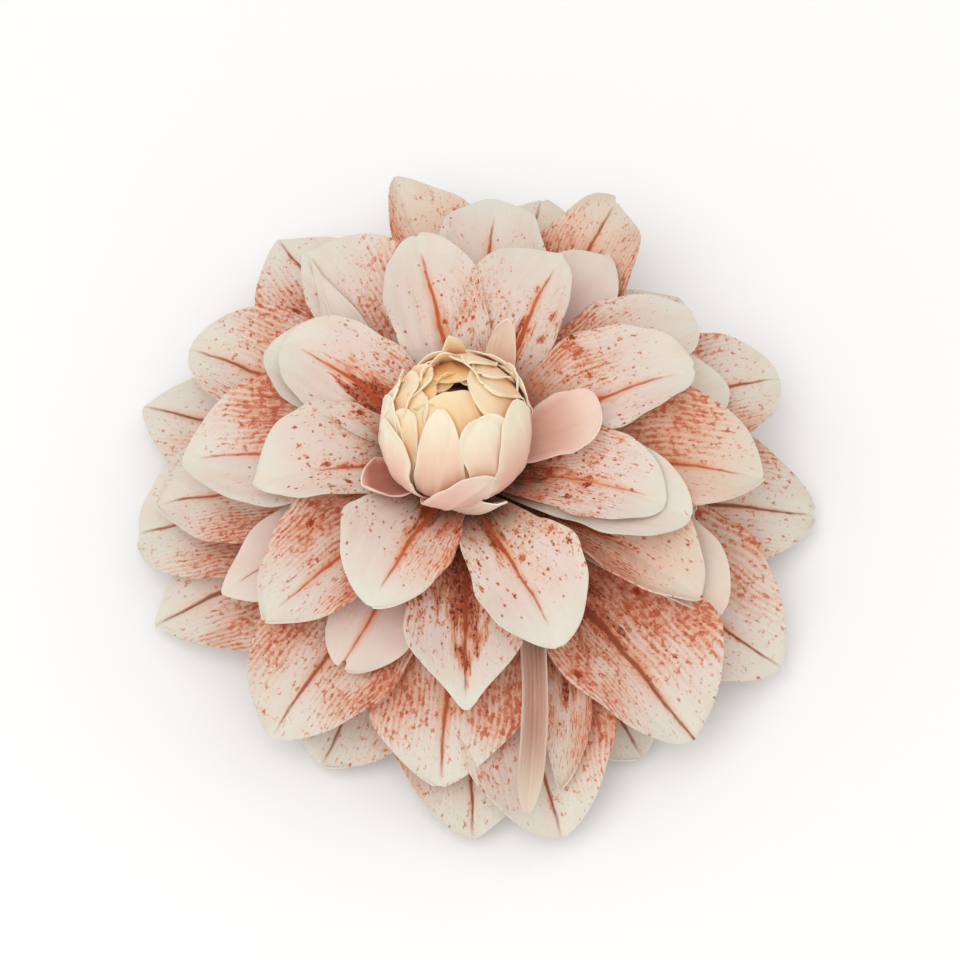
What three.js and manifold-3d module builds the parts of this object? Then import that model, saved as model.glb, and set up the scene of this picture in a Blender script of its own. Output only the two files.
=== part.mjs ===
// Artificial dahlia flower head: layers of printed cloth petals on a peg, round a tight bud.
// Millimetres, +Z up. The origin is the middle of the flat foot that the head rests on.
// +X is to the right and +Y is the far side, as the head is seen from in front and above.

import * as THREE from "three";
import { mergeVertices } from "three/addons/utils/BufferGeometryUtils.js";
import Module from "manifold-3d";

const wasm = await Module();
wasm.setup();

// Driving dimensions
const BLADE = 0.8; // thickness of a petal
const GAP = 0.3; // running clearance between pieces that touch
const TIP_AT = 0.996; // where a petal's outline is cut, so that its tip is not a single point
const HUB_RADIUS = 9;
const COLLAR_HUB_RADIUS = 6.5;
const HUB_SHRINK = 1; // a hub's top is this much smaller in radius
const HUB_SIDES = 14;
const PEG_RADIUS = 2;
const PEG_FOOT = 4; // height of the peg's lower end, inside the calyx
const PEG_HEAD = 47; // height of its upper end, inside the bud
const CALYX_FOOT_RADIUS = 10;
const CALYX_RIM_RADIUS = 12.5;
const CALYX_RIM = 8.6; // height of the calyx under the first hub
const SEPALS = 8;
const SEPAL_REACH = 25;
const SEPAL_STEP = 2; // every second sepal is this much longer
const BUD_X = -2.3; // the bud leans a little off the middle of the head
const BUD_Y = -0.4;
const BUD_CORE_FOOT = 38.9;
const BUD_CORE_TOP = 65;

// Colours of the dyed cloth and of the moulded calyx
const CLOTH = { roughness: 0.85, metalness: 0 };
const PRINTED = new THREE.MeshStandardMaterial({ color: 0xe6cbc1, side: THREE.DoubleSide, ...CLOTH });
const PLAIN = new THREE.MeshStandardMaterial({ color: 0xe8cdbf, side: THREE.DoubleSide, ...CLOTH });
const BUD_CREAM = new THREE.MeshStandardMaterial({ color: 0xf0dcbb, side: THREE.DoubleSide, ...CLOTH });
const COLLAR_PINK = new THREE.MeshStandardMaterial({ color: 0xe5bcae, side: THREE.DoubleSide, ...CLOTH });
const CALYX_GREEN = new THREE.MeshStandardMaterial({ color: 0x6f7c46, roughness: 0.6, metalness: 0 });
const PEG_WHITE = new THREE.MeshStandardMaterial({ color: 0xe9e6dc, roughness: 0.5, metalness: 0 });

const radians = THREE.MathUtils.degToRad;
const UP = new THREE.Vector3(0, 0, 1);

// The form that all petals share; a layer and a single petal change some of it.
// Lengths are in mm and angles in degrees.
const PETAL = {
  across: 4, // faces from side to side
  along: 6, // faces from root to tip
  rootRadius: 5, // distance of the root from the axis
  sway: 0, // how far the tip is turned round the axis, past the root
  cup: 24, // how far the sides curl up
  keel: 0.25, // depth of the fold along the rib
  belly: 0.6, // where the petal is widest, from 0 at the root to 1 at the tip
  claw: 0.24, // width at the root, as a share of the full width
  point: 1.5, // a larger value gives a blunter tip
  rootPull: 0.38, // how straight the rib leaves the root
  tipPull: 0.38, // how straight it comes to the tip
};

// Layers, from the lowest to the highest. lift and droop are the rib's slopes at root and tip.
const OUTER = { rootZ: 11.6, lift: 8, droop: -22, width: 34, high: 5, cup: -8, keel: 0.05, claw: 0.2 };
const OUTER_RAISED = { rootZ: 13, high: 7, cup: 12, keel: 0.12 };
const BROAD = {
  rootZ: 17.3, lift: 18, droop: -28, width: 34, high: 14, cup: 14, keel: 0.12, claw: 0.2, point: 1.45,
};
const PLAINS = { rootZ: 21.3, lift: 24, droop: -25, width: 23, high: 25, cup: 20, keel: 0.12 };
const MIDDLE = { rootZ: 26.2, lift: 30, droop: -28, width: 27, high: 29, cup: 20, keel: 0.2 };
const INNER = {
  rootZ: 31.6, lift: 34, droop: -22, width: 24, high: 42, cup: 19, keel: 0.2, belly: 0.62, point: 1.6,
};
const COLLAR = { rootZ: 37.5, rootRadius: 4.5, width: 14, lift: 16, cup: 30, keel: 0.1, claw: 0.3 };
const BUD = {
  along: 5, rootZ: 42.6, rootRadius: 4, lift: 8, droop: 125, width: 14, cup: 50, keel: 0.1, claw: 0.45,
  point: 1.8, rootPull: 0.6, tipPull: 0.45,
};
const SEPAL = {
  across: 2, along: 4, rootZ: 7, rootRadius: 8.5, lift: 14, droop: -6, high: 9.2, width: 11, cup: 18,
  claw: 0.6, belly: 0.4, point: 1.1,
};
const BUD_MIDDLE = { ...BUD, along: 4, rootRadius: 3, rootPull: 0.5 };
const BUD_HEART = { ...BUD, along: 4, rootRadius: 2, rootPull: 0.35, droop: 115 };

// The petals of each layer as they sit on this head: at is the azimuth of the tip, counted
// from +X towards +Y, and reach is the tip's distance from the axis.
const OUTER_PETALS = [
  { at: 0, reach: 80, width: 38 },
  { at: 48, reach: 76, width: 28 },
  { at: 77, reach: 80, width: 30, high: 14 },
  { at: 102, reach: 85, width: 26, sway: 22, ...OUTER_RAISED, high: 18 },
  { at: 123, reach: 82.5, width: 36, high: 10.5 },
  { at: 160, reach: 80.5 },
  { at: 184, reach: 75, width: 36, ...OUTER_RAISED },
  { at: 201, reach: 75, width: 36, point: 1.25 },
  { at: 242, reach: 68, width: 36 },
  { at: 271, reach: 77, width: 38, point: 1.35 },
  { at: 285, reach: 80, width: 36, ...OUTER_RAISED },
  { at: 304, reach: 70 },
  { at: 332, reach: 80, width: 38, ...OUTER_RAISED },
];
const BROAD_PETALS = [
  { at: 23, reach: 79, width: 32 },
  { at: 64, reach: 81, width: 25, high: 22, sway: 8, lift: 10, keel: 0.2 },
  { at: 108, reach: 52, width: 26, high: 25, lift: 22, cup: 6 },
  { at: 149, reach: 75, width: 30 },
  { at: 181, reach: 70, width: 30, point: 1.3 },
  { at: 233, reach: 71 },
  { at: 265, reach: 68, width: 38, point: 1.35 },
  { at: 311, reach: 76, width: 36 },
];
const PLAIN_PETALS = [
  { at: 22, reach: 64, width: 26 },
  { at: 60, reach: 63, high: 30, cup: 12 },
  { at: 100, reach: 50, high: 28.5, width: 20, cup: 8, keel: 0.04 },
  { at: 139, reach: 57.5, width: 24, high: 27, point: 1.9 },
  { at: 206, reach: 60, high: 23.5, cup: 10, keel: 0.06, point: 1.3 },
  { at: 239, reach: 51.5, width: 24, high: 26.6, cup: 8, keel: 0.05, point: 2 },
  { at: 280.5, reach: 75.5, width: 14, high: 17, lift: 27, cup: 60, claw: 0.12, belly: 0.75 },
  { at: 328, reach: 66, width: 18, high: 23, lift: 18 },
  { at: 348.6, reach: 51.5, width: 24, high: 30, cup: 6, keel: 0.04 },
];
const MIDDLE_PETALS = [
  { at: 37, reach: 65, width: 24 },
  { at: 84, reach: 70, width: 26 },
  { at: 122, reach: 67, width: 28 },
  { at: 177, reach: 63, width: 32 },
  { at: 219, reach: 55, width: 26, point: 1.3 },
  { at: 270, reach: 55, width: 28 },
  { at: 330, reach: 59, width: 23 },
  { at: 359, reach: 66, width: 29 },
];
const INNER_PETALS = [
  { at: 21, reach: 54, width: 23 },
  { at: 66, reach: 53, width: 23 },
  { at: 102, reach: 54, width: 22, sway: 4 },
  { at: 147, reach: 48 },
  { at: 190, reach: 46, width: 22 },
  { at: 241, reach: 42, width: 25 },
  { at: 293, reach: 50, width: 25, sway: -6 },
  { at: 343, reach: 45, width: 22 },
];
const COLLAR_PETALS = [
  { at: 3, reach: 31, high: 52, width: 15, lift: 22, droop: 36, sway: 1 },
  { at: 70, reach: 23, high: 60, width: 13, droop: 80, sway: 7 },
  { at: 208, reach: 25.2, high: 50, width: 12.4, lift: 21, droop: 56, rootRadius: 5.5 },
  { at: 274, reach: 21, high: 48, width: 13, lift: 22, droop: 60 },
];
// In the bud a tip is bent far round, so from is the azimuth that the petal's back faces.
const BUD_OUTER_PETALS = [
  { from: 20, at: 28, reach: 14.5, high: 63, width: 12, droop: 100 },
  { from: 70, at: 75, reach: 13, high: 66, width: 16, droop: 110 },
  { from: 105, at: 103, reach: 14, high: 65, width: 12, droop: 95 },
  { from: 145, at: 140, reach: 13, high: 62, width: 15, droop: 110 },
  { from: 190, at: 172, reach: 14, high: 61, width: 16, droop: 105 },
  { from: 232, at: 190, reach: 14, high: 60, width: 17, droop: 105 },
  { from: 266, at: 215, reach: 4, high: 68, width: 17 },
  { from: 318, at: 355, reach: 12, high: 64, width: 20, droop: 115 },
];
const BUD_MIDDLE_PETALS = [
  { from: 15, at: 30, reach: 4, high: 71, width: 17 },
  { from: 45, at: 50, reach: 9, high: 70, width: 15, droop: 115 },
  { from: 75, at: 80, reach: 9, high: 70, width: 15, droop: 115 },
  { from: 110, at: 110, reach: 9.5, high: 69, width: 13, droop: 110 },
  { from: 155, at: 143, reach: 8.5, high: 69, width: 13 },
  { from: 180, at: 172, reach: 7, high: 68, width: 11 },
  { from: 208, at: 190, reach: 9.5, high: 65, width: 12 },
  { from: 292, at: 304, reach: 5, high: 67, width: 16 },
];
const BUD_HEART_PETALS = [
  { from: 60, at: 60, reach: 5, high: 72, width: 10 },
  { from: 95, at: 95, reach: 4, high: 72, width: 10 },
  { from: 135, at: 135, reach: 4.5, high: 71, width: 8 },
  { from: 200, at: 200, reach: 3, high: 70, width: 8 },
];

// A direction at an azimuth round the axis.
function outward(angle) {
  return new THREE.Vector3(Math.cos(angle), Math.sin(angle), 0);
}

// Width of a petal along its rib, as a share of its full width.
function outline(petal, t) {
  if (t <= petal.belly) {
    return petal.claw + (1 - petal.claw) * (1 - (1 - t / petal.belly) ** 1.8);
  }
  const past = (t - petal.belly) / (1 - petal.belly);
  return (1 - past ** 2.1) ** (1 / petal.point);
}

// The rib of a petal, as a cubic curve from the root to the tip.
function rib(petal) {
  const tip = outward(radians(petal.at));
  const root = outward(radians(petal.at - petal.sway));
  const start = root.clone().multiplyScalar(petal.rootRadius).addScaledVector(UP, petal.rootZ);
  const end = tip.clone().multiplyScalar(petal.reach).addScaledVector(UP, petal.high);
  const length = start.distanceTo(end);
  const rise = (direction, slope) =>
    direction.clone().multiplyScalar(Math.cos(slope)).addScaledVector(UP, Math.sin(slope));
  const leave = rise(root, radians(petal.lift)).multiplyScalar(petal.rootPull * length);
  const arrive = rise(tip, radians(petal.droop)).multiplyScalar(petal.tipPull * length);
  return new THREE.CubicBezierCurve3(start, start.clone().add(leave), end.clone().sub(arrive), end);
}

// One row of points across a petal at t along its rib, with the blade's normal at each.
function row(petal, curve, t) {
  const centre = curve.getPoint(t);
  const along = curve.getTangent(t);
  const facing = radians(petal.from ?? petal.at - petal.sway / 2);
  const side = new THREE.Vector3(-Math.sin(facing), Math.cos(facing), 0);
  side.addScaledVector(along, -side.dot(along)).normalize();
  const normal = along.clone().cross(side);
  const half = (petal.width / 2) * outline(petal, t);
  const curl = radians(petal.cup) * (0.75 + 0.5 * (1 - t));
  const points = [];
  for (let j = 0; j <= petal.across; j += 1) {
    const u = (2 * j) / petal.across - 1;
    const fold = half * petal.keel * (Math.sqrt(u * u + 0.02) - Math.sqrt(0.02));
    const rise = (half * (1 - Math.cos(curl * u))) / curl + fold;
    points.push({
      at: centre
        .clone()
        .addScaledVector(side, (half * Math.sin(curl * u)) / curl)
        .addScaledVector(normal, rise),
      normal: normal
        .clone()
        .multiplyScalar(Math.cos(curl * u))
        .addScaledVector(side, -Math.sin(curl * u)),
    });
  }
  return points;
}

// A solid from a geometry whose faces close.
function solidFrom(geometry) {
  const bare = geometry.clone();
  bare.deleteAttribute("normal");
  bare.deleteAttribute("uv");
  const merged = mergeVertices(bare, 1e-4);
  const mesh = new wasm.Mesh({
    numProp: 3,
    vertProperties: new Float32Array(merged.attributes.position.array),
    triVerts: new Uint32Array(merged.index.array),
  });
  return new wasm.Manifold(mesh);
}

// A petal as a thin blade, split into triangles alike on both faces.
function blade(petal) {
  const { across, along } = petal;
  const curve = rib(petal);
  const upper = [];
  const lower = [];
  for (let i = 0; i <= along; i += 1) {
    const t = TIP_AT * (1 - (1 - i / along) ** 1.35);
    for (const point of row(petal, curve, t)) {
      upper.push(point.at.clone().addScaledVector(point.normal, BLADE / 2));
      lower.push(point.at.clone().addScaledVector(point.normal, -BLADE / 2));
    }
  }
  const count = upper.length;
  const at = (i, j) => i * (across + 1) + j;
  const faces = [];
  for (let i = 0; i < along; i += 1) {
    for (let j = 0; j < across; j += 1) {
      const [a, b, c, d] = [at(i, j), at(i + 1, j), at(i + 1, j + 1), at(i, j + 1)];
      faces.push(a, b, c, a, c, d);
      faces.push(count + a, count + c, count + b, count + a, count + d, count + c);
    }
  }
  const rim = [];
  for (let i = 0; i < along; i += 1) rim.push(at(i, 0));
  for (let j = 0; j < across; j += 1) rim.push(at(along, j));
  for (let i = along; i > 0; i -= 1) rim.push(at(i, across));
  for (let j = across; j > 0; j -= 1) rim.push(at(0, j));
  rim.forEach((here, k) => {
    const next = rim[(k + 1) % rim.length];
    faces.push(next, here, count + here, next, count + here, count + next);
  });
  const geometry = new THREE.BufferGeometry().setFromPoints([...upper, ...lower]);
  geometry.setIndex(faces);
  return solidFrom(geometry);
}

// A solid turned about the axis from a closed profile of [radius, height] points.
function turned(profile, sides) {
  const points = profile.map(([radius, height]) => new THREE.Vector2(radius, height));
  const geometry = new THREE.LatheGeometry(points, sides);
  geometry.rotateX(Math.PI / 2);
  return solidFrom(geometry);
}

// The hub of a layer, with the hole that the peg goes through.
function hub(bottom, top, radius = HUB_RADIUS) {
  const hole = PEG_RADIUS + GAP;
  return turned(
    [
      [hole, bottom],
      [radius, bottom],
      [radius - HUB_SHRINK, top],
      [hole, top],
      [hole, bottom],
    ],
    HUB_SIDES,
  );
}

// The main body of a solid, without loose scraps and sealed hollows.
function mainBody(solid) {
  return solid.decompose().reduce((best, body) => (body.volume() > best.volume() ? body : best));
}

// Joins blades to a middle.
function fused(middle, petals) {
  let whole = middle;
  for (const petal of petals) whole = whole.add(blade({ ...PETAL, ...petal }));
  return mainBody(whole);
}

// A named mesh from a solid.
function meshFrom(name, solid, material) {
  const made = solid.getMesh();
  const geometry = new THREE.BufferGeometry();
  const places = new Float32Array(made.numVert * 3);
  for (let i = 0; i < made.numVert; i += 1) {
    places.set(made.vertProperties.subarray(i * made.numProp, i * made.numProp + 3), i * 3);
  }
  geometry.setAttribute("position", new THREE.BufferAttribute(places, 3));
  geometry.setIndex(new THREE.BufferAttribute(made.triVerts, 1));
  geometry.computeVertexNormals();
  const mesh = new THREE.Mesh(geometry, material);
  mesh.name = name;
  return mesh;
}

// A layer of petals on its own hub.
function layer(name, defaults, petals, middle, material) {
  const rows = petals.map((petal) => ({ ...defaults, ...petal }));
  return meshFrom(name, fused(middle, rows), material);
}

// The moulded calyx: a low cup with a flat foot, a blind socket for the peg and a ring of sepals.
function calyx() {
  const socket = PEG_RADIUS + GAP;
  const cup = turned(
    [
      [0, 0],
      [CALYX_FOOT_RADIUS, 0],
      [CALYX_FOOT_RADIUS + 0.6, 1.2],
      [CALYX_FOOT_RADIUS + 0.2, 4.4],
      [CALYX_RIM_RADIUS, 7.2],
      [CALYX_RIM_RADIUS, CALYX_RIM],
      [socket, CALYX_RIM],
      [socket, PEG_FOOT - GAP],
      [0, PEG_FOOT - GAP],
    ],
    18,
  );
  const sepals = [];
  for (let k = 0; k < SEPALS; k += 1) {
    const reach = SEPAL_REACH + (k % 2) * SEPAL_STEP;
    sepals.push({ ...SEPAL, at: (360 * (k + 0.5)) / SEPALS, reach });
  }
  return meshFrom("calyx", fused(cup, sepals), CALYX_GREEN);
}

// The peg that the layers are threaded on.
function peg() {
  const geometry = new THREE.CylinderGeometry(PEG_RADIUS, PEG_RADIUS, PEG_HEAD - PEG_FOOT, 16);
  geometry.rotateX(Math.PI / 2);
  geometry.translate(0, 0, (PEG_HEAD + PEG_FOOT) / 2);
  const mesh = new THREE.Mesh(geometry, PEG_WHITE);
  mesh.name = "peg";
  return mesh;
}

// The core of the bud.
function budCore() {
  return turned(
    [
      [0, BUD_CORE_FOOT],
      [3.4, BUD_CORE_FOOT],
      [9.5, BUD_CORE_FOOT + 5],
      [12.8, BUD_CORE_FOOT + 11],
      [11.4, BUD_CORE_FOOT + 18],
      [6, BUD_CORE_TOP - 2.6],
      [0, BUD_CORE_TOP],
    ],
    14,
  );
}

// The bud, with the socket that the peg ends in. It is made round its own axis.
function bud() {
  const petals = [
    ...BUD_OUTER_PETALS.map((petal) => ({ ...BUD, ...petal })),
    ...BUD_MIDDLE_PETALS.map((petal) => ({ ...BUD_MIDDLE, ...petal })),
    ...BUD_HEART_PETALS.map((petal) => ({ ...BUD_HEART, ...petal })),
  ].map((petal) => ({ ...petal, sway: petal.at - petal.from }));
  const depth = PEG_HEAD + GAP - BUD_CORE_FOOT;
  const socket = new THREE.CylinderGeometry(PEG_RADIUS + GAP, PEG_RADIUS + GAP, 2 * depth, 16);
  socket.rotateX(Math.PI / 2);
  socket.translate(-BUD_X, -BUD_Y, BUD_CORE_FOOT);
  const whole = mainBody(fused(budCore(), petals).subtract(solidFrom(socket)));
  const mesh = meshFrom("bud", whole, BUD_CREAM);
  mesh.position.set(BUD_X, BUD_Y, 0);
  return mesh;
}

// The hubs lie on each other, so each starts a gap above the one below.
const flower = new THREE.Group();
flower.add(calyx());
flower.add(peg());
flower.add(layer("outer_petals", OUTER, OUTER_PETALS, hub(CALYX_RIM + GAP, 15.3), PRINTED));
flower.add(layer("broad_petals", BROAD, BROAD_PETALS, hub(15.6, 20.3), PRINTED));
flower.add(layer("plain_petals", PLAINS, PLAIN_PETALS, hub(20.6, 24.7), PLAIN));
flower.add(layer("middle_petals", MIDDLE, MIDDLE_PETALS, hub(25, 29.9), PRINTED));
flower.add(layer("inner_petals", INNER, INNER_PETALS, hub(30.2, 36.4), PRINTED));
flower.add(layer("bud_collar", COLLAR, COLLAR_PETALS, hub(36.7, 38.6, COLLAR_HUB_RADIUS), COLLAR_PINK));
flower.add(bud());

export default flower;
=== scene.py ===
# %% [markdown]
# A cloth dahlia, petal by petal
#
# The flower is an artificial one: petals stamped from thin printed cloth, pressed into a cup
# and threaded in layers on a peg, with a small closed bud on top and a moulded calyx below.
# The solids come ready made with thick, plain petals. Every cell here makes one part of the
# finished look: a thin cloth petal in place of each thick one, and the dyes that colour it.

# %% Load the solids and note their box
import math
import random

import bpy
import numpy as np
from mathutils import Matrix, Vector


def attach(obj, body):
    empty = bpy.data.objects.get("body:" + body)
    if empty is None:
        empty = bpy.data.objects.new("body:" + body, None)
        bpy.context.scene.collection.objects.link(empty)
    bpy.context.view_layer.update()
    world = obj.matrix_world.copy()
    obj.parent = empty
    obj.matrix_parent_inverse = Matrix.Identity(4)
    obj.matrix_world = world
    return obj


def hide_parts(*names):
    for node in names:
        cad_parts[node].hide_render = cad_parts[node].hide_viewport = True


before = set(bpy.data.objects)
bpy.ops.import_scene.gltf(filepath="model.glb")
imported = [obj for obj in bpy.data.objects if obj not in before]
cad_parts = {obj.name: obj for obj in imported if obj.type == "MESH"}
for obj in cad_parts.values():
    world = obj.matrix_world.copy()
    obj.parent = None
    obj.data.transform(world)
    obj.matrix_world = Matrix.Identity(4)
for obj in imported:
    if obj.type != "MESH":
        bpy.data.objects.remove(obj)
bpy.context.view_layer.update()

MM = 0.001
bpy.ops.object.select_all(action="DESELECT")
print("solids:", sorted(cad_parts))

# %% [markdown]
# The photograph looks down on the flower from in front, with a soft, even light and hardly a
# shadow. One lens does it: a long one, so that the petals near it look no larger than the
# others. The light could be one big lamp, but then the gaps between the petals would turn
# black. A bright surrounding world fills them, and one wide lamp above the camera's left
# shoulder gives the petals their gentle shading.

# %% Camera
AIM = Vector((0, 0, 30 * MM))
CAMERA_RISE = math.radians(66)
CAMERA_DISTANCE = 0.620
SENSOR = 36
LENS = 104.85
FRAME_PIXELS = 960
AIM_LEFT_OF_MIDDLE = 14
AIM_ABOVE_MIDDLE = 8

camera_data = bpy.data.cameras.new("camera")
camera_data.sensor_width = SENSOR
camera_data.lens = LENS
camera_data.shift_x = AIM_LEFT_OF_MIDDLE / FRAME_PIXELS
camera_data.shift_y = -AIM_ABOVE_MIDDLE / FRAME_PIXELS
camera_data.clip_start = 0.01
camera = bpy.data.objects.new("camera", camera_data)
bpy.context.scene.collection.objects.link(camera)
back = Vector((0, -math.cos(CAMERA_RISE), math.sin(CAMERA_RISE)))
camera.location = AIM + CAMERA_DISTANCE * back
camera.rotation_mode = "QUATERNION"
camera.rotation_quaternion = (-back).to_track_quat("-Z", "Y")
bpy.context.scene.camera = camera
print("camera at", [round(value, 3) for value in camera.location])

# %% Floor and light
WORLD_STRENGTH = 0.66
LAMPS = {
    "key": {"at": (-0.32, -0.35, 1.30), "size": 1.2, "watts": 8.2},
    "rim": {"at": (0.65, 0.45, 0.95), "size": 1.0, "watts": 1.2},
}

world = bpy.data.worlds.new("soft studio")
bpy.context.scene.world = world
world.use_nodes = True
world.node_tree.nodes["Background"].inputs["Color"].default_value = (1.0, 0.99, 0.98, 1)
world.node_tree.nodes["Background"].inputs["Strength"].default_value = WORLD_STRENGTH
bpy.context.scene.view_settings.view_transform = "Standard"

for name, lamp in LAMPS.items():
    light = bpy.data.lights.new(name, "AREA")
    light.size = lamp["size"]
    light.energy = lamp["watts"]
    holder = bpy.data.objects.new(name, light)
    bpy.context.scene.collection.objects.link(holder)
    holder.location = lamp["at"]
    holder.rotation_mode = "QUATERNION"
    holder.rotation_quaternion = (Vector(lamp["at"]) - AIM).to_track_quat("Z", "Y")

bpy.ops.mesh.primitive_plane_add(size=12, location=(0, 0, 0))
floor = bpy.context.active_object
floor.name = "floor"
print("lamps:", list(LAMPS))

# %% [markdown]
# A shader is drawn here by formula, as a sum is written: each helper adds one node and hands
# back its output, so that helpers can be put inside each other. Doing it by hand in the node
# editor gives the same tree, but a formula shows at a glance what depends on what.

# %% A small writer of shader nodes
class Dyes:
    """Writes nodes into one tree. Every method returns an output socket."""

    def __init__(self, tree):
        self.tree = tree

    def node(self, kind, inputs=(), **settings):
        made = self.tree.nodes.new(kind)
        for key, value in settings.items():
            setattr(made, key, value)
        for socket, value in dict(inputs).items():
            self.join(value, made.inputs[socket])
        return made

    def join(self, value, socket):
        if isinstance(value, bpy.types.NodeSocket):
            self.tree.links.new(value, socket)
        else:
            socket.default_value = value

    def math(self, operation, first, second=0.0, clamp=False):
        inputs = {0: first, 1: second}
        return self.node("ShaderNodeMath", inputs, operation=operation, use_clamp=clamp).outputs[0]

    def add(self, first, second):
        return self.math("ADD", first, second)

    def less(self, first, second):
        return self.math("SUBTRACT", first, second)

    def times(self, first, *others):
        for other in others:
            first = self.math("MULTIPLY", first, other)
        return first

    def fade(self, value, low, high):
        """0 where the value is at low, 1 where it is at high, with a soft step between."""
        inputs = {"Value": value, "From Min": low, "From Max": high, "To Min": 0.0, "To Max": 1.0}
        kind = "ShaderNodeMapRange"
        return self.node(kind, inputs, interpolation_type="SMOOTHSTEP").outputs["Result"]

    def place(self, x, y, z=0.0):
        return self.node("ShaderNodeCombineXYZ", {"X": x, "Y": y, "Z": z}).outputs[0]

    def noise(self, vector, detail=2.0, roughness=0.5):
        inputs = {"Vector": vector, "Scale": 1.0, "Detail": detail, "Roughness": roughness}
        return self.node("ShaderNodeTexNoise", inputs).outputs[0]

    def grain(self, x, per_x, y, per_y, seed, detail=2.0, roughness=0.5):
        """Noise on a map, with a number of grains to each unit of x and of y."""
        spot = self.place(self.times(x, per_x), self.times(y, per_y), seed)
        return self.noise(spot, detail, roughness)

    def object_place(self, level, upward=None):
        """Places in the object's own space, scaled by level, and by upward along its height."""
        scale = (level, level, upward or level)
        spot = self.node("ShaderNodeTexCoord").outputs["Object"]
        return self.node("ShaderNodeMapping", {"Vector": spot, "Scale": scale}).outputs[0]

    def mix(self, factor, first, second):
        made = self.node("ShaderNodeMix", data_type="RGBA")
        self.join(factor, made.inputs[0])
        self.join(first, made.inputs[6])
        self.join(second, made.inputs[7])
        return made.outputs[2]

    def attribute(self, name):
        return self.node("ShaderNodeAttribute", attribute_name=name)

    def parts(self, name):
        """The three numbers of a vector attribute."""
        vector = self.attribute(name).outputs["Vector"]
        return self.node("ShaderNodeSeparateXYZ", {"Vector": vector}).outputs

    def map(self, name):
        """The two coordinates of a UV map."""
        vector = self.node("ShaderNodeUVMap", uv_map=name).outputs["UV"]
        return self.node("ShaderNodeSeparateXYZ", {"Vector": vector}).outputs[:2]


def colour(red, green, blue):
    """A colour as a paint program shows it, from 0 to 255, as the numbers that a shader wants."""
    shown = [value / 255 for value in (red, green, blue)]
    return tuple(v / 12.92 if v <= 0.04045 else ((v + 0.055) / 1.055) ** 2.4 for v in shown) + (1,)


def new_group(name, inputs, outputs):
    """An empty node group with named sockets. A socket with a colour default carries a colour."""
    tree = bpy.data.node_groups.new(name, "ShaderNodeTree")
    for label, default in inputs.items():
        kind = "NodeSocketColor" if isinstance(default, tuple) else "NodeSocketFloat"
        socket = tree.interface.new_socket(label, in_out="INPUT", socket_type=kind)
        socket.default_value = default
    for label, kind in outputs.items():
        tree.interface.new_socket(label, in_out="OUTPUT", socket_type=kind)
    dyes = Dyes(tree)
    return dyes, dyes.node("NodeGroupInput").outputs, dyes.node("NodeGroupOutput").inputs


def new_material(name, roughness, soak=0.0, sheen=0.0):
    """A material with one shader. soak is how much light goes into the cloth and comes out again."""
    material = bpy.data.materials.new(name)
    material.use_nodes = True
    shader = material.node_tree.nodes["Principled BSDF"]
    shader.inputs["Roughness"].default_value = roughness
    shader.inputs["Specular IOR Level"].default_value = 0.25
    shader.inputs["Subsurface Weight"].default_value = soak
    shader.inputs["Subsurface Radius"].default_value = (1.0, 0.75, 0.62)
    shader.inputs["Subsurface Scale"].default_value = 0.5 * MM
    shader.inputs["Sheen Weight"].default_value = sheen
    shader.inputs["Sheen Roughness"].default_value = 0.5
    return material, Dyes(material.node_tree), shader.inputs


FLOOR_CLOUDS_PER_METRE = 4
paper, dyes, sockets = new_material("pale floor", 0.9)
grain = dyes.noise(dyes.object_place(FLOOR_CLOUDS_PER_METRE))
dyes.join(dyes.mix(grain, colour(252, 252, 252), colour(254, 254, 254)), sockets["Base Color"])
floor.data.materials.append(paper)
print("floor material:", paper.name)

# %% [markdown]
# The petals are woven cloth with a printed pattern, and the print follows the petal: streaks
# fan out with its sides, and the line along its rib starts at its root. So the pattern can't
# hang in space. Each petal carries two maps made with its shape: "rib", which runs from side
# to side and from root to tip whatever the petal's size, and "cloth", which is in centimetres
# on the cloth, for threads and specks that are the same size everywhere.

# %% The weave of the cloth
# Threads run along the petal and across it, a few to the millimetre, over slow lengthwise creases.
# A thread swells and thins along its run, and a crease fades in and out.
THREADS_PER_CM = 34
SWELLS_PER_CM = 4
CROSS_SWELLS_PER_CM = 6
CREASES_PER_CM = 5
CREASE_RUNS_PER_CM = 0.7
CROSS_SHARE = 0.35
FIBRE_HEIGHT = 0.2
CREASE_HEIGHT = 0.63
weave, given, put = new_group(
    "cloth weave",
    {"Seed": 0.0},
    {"Height": "NodeSocketFloat", "Fibre": "NodeSocketFloat"},
)
x_cm, y_cm = weave.map("cloth")
seed = given["Seed"]
threads = weave.grain(x_cm, THREADS_PER_CM, y_cm, SWELLS_PER_CM, seed, 0.0)
cross_threads = weave.grain(x_cm, CROSS_SWELLS_PER_CM, y_cm, THREADS_PER_CM, seed, 0.0)
creases = weave.grain(x_cm, CREASES_PER_CM, y_cm, CREASE_RUNS_PER_CM, seed, 1.0)
fibre = weave.add(weave.times(threads, 1 - CROSS_SHARE), weave.times(cross_threads, CROSS_SHARE))
weave.join(
    weave.add(weave.times(fibre, FIBRE_HEIGHT), weave.times(creases, CREASE_HEIGHT)), put["Height"]
)
weave.join(fibre, put["Fibre"])
print("group:", weave.tree.name)

# %% [markdown]
# The print has these marks: dashes that run along the petal and thin out towards its tip, on a
# faint blush of the same ink; a rust line on the rib in a yellow halo, with a yellow stipple
# beside it; round specks near the root, the larger ones with a dark heart; and a brown stain
# where the petal comes out of the middle. They could be painted as one picture, but then all
# petals would be alike. Here each is a mask made of noise, and every petal carries its own
# amounts, so that no two petals match.

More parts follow.
